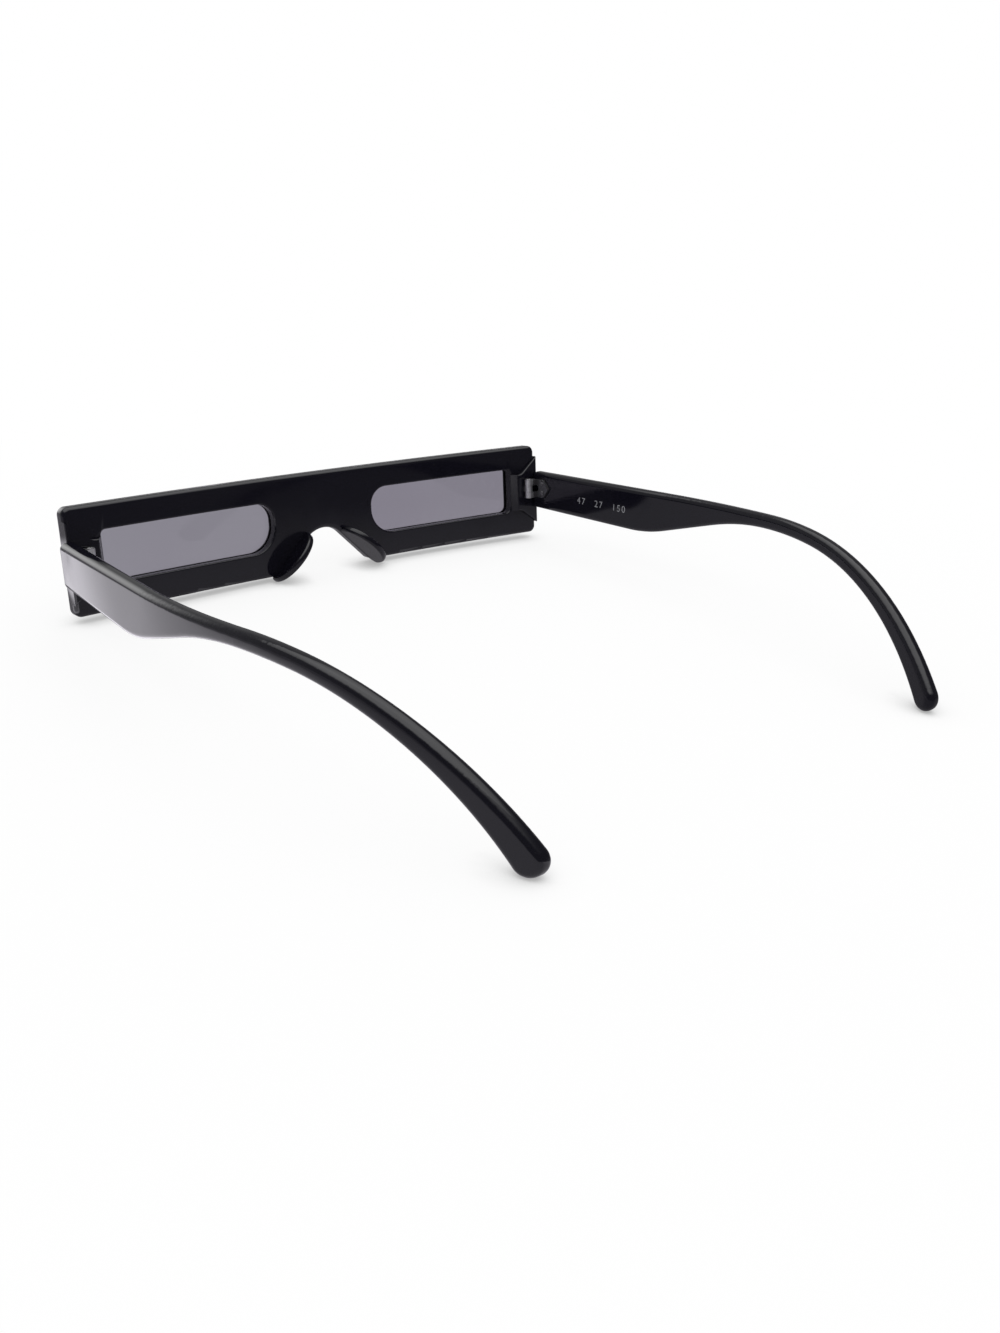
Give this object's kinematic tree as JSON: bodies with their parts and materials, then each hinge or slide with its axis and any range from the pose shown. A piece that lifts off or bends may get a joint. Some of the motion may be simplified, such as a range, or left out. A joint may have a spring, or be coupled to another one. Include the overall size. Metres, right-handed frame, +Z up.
{
  "type": "sunglasses",
  "caption": "Narrow rectangular sunglasses: bowed black plastic front with moulded nose fins, tinted lenses and hinged temples that sweep down behind the ears.",
  "frame": {"origin": "on the ground plane under the middle of the bounding box, glasses resting open on the nose fins and temple tips", "axes": "+X the wearer's left, +Y to the rear (towards the ears), +Z up"},
  "size_m": [0.146, 0.1504, 0.0261],
  "materials": {
    "black_plastic": "glossy injection-moulded black plastic with fine handling marks",
    "tinted_lens": "polished grey-violet tinted lens",
    "hinge_metal": "dark plated stamped hinge metal with bright worn knuckles",
    "screw_steel": "bright small steel screw and rivets"
  },
  "bodies": {
    "front": {"front_frame": "black_plastic", "lens_left": "tinted_lens", "lens_right": "tinted_lens", "hinge_front_leaf_left": "hinge_metal", "hinge_front_leaf_right": "hinge_metal"},
    "left_arm": {"temple_left": "black_plastic", "hinge_temple_leaf_left": "hinge_metal", "hinge_screw_left": "screw_steel", "leaf_rivets_left": "screw_steel"},
    "right_arm": {"temple_right": "black_plastic", "hinge_temple_leaf_right": "hinge_metal", "hinge_screw_right": "screw_steel", "leaf_rivets_right": "screw_steel"}
  },
  "joints": [
    {"name": "left_temple_hinge", "type": "hinge", "parent": "front", "child": "left_arm", "pos_m": [0.06375, -0.06374, 0.01503], "axis": [0, -0.1186, 0.9929], "range_deg": [0, 88]},
    {"name": "right_temple_hinge", "type": "hinge", "parent": "front", "child": "right_arm", "pos_m": [-0.06375, -0.06374, 0.01503], "axis": [0, 0.1186, -0.9929], "range_deg": [0, 80]}
  ]
}
